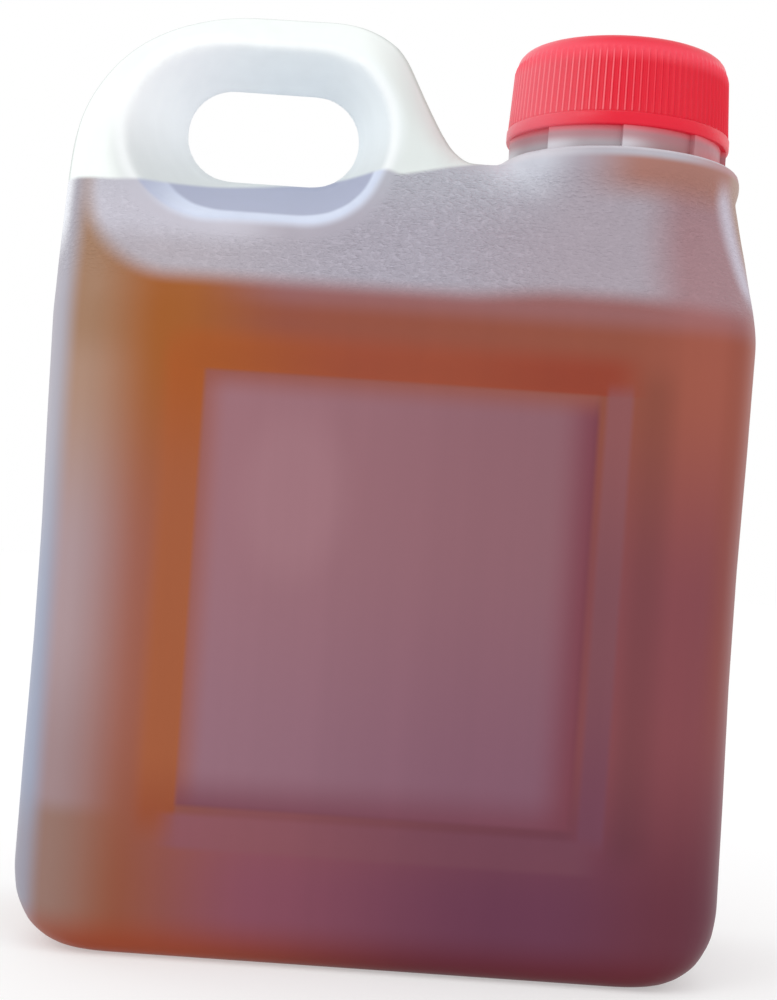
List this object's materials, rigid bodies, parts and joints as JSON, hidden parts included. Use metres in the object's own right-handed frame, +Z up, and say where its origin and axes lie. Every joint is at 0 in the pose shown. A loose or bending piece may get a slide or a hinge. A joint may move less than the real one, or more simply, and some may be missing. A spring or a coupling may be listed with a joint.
{
  "type": "bottle of honey",
  "caption": "Translucent rectangular jerrycan of amber honey, with an arched side handle, a recessed panel on each wide face and a ribbed red screw cap.",
  "frame": {"origin": "centre of the bounding box at the flat base", "axes": "+Z up, the front face towards -Y, the handle at -X and the neck at +X"},
  "size_m": [0.1226, 0.062, 0.1675],
  "materials": {
    "milky_plastic": "satin, milky and translucent, with a fine leather grain on the shoulder",
    "honey": "clear dark amber liquid",
    "red_plastic": "satin"
  },
  "bodies": {
    "root": {"bottle": "milky_plastic", "honey": "honey", "cap": "red_plastic"}
  },
  "joints": []
}
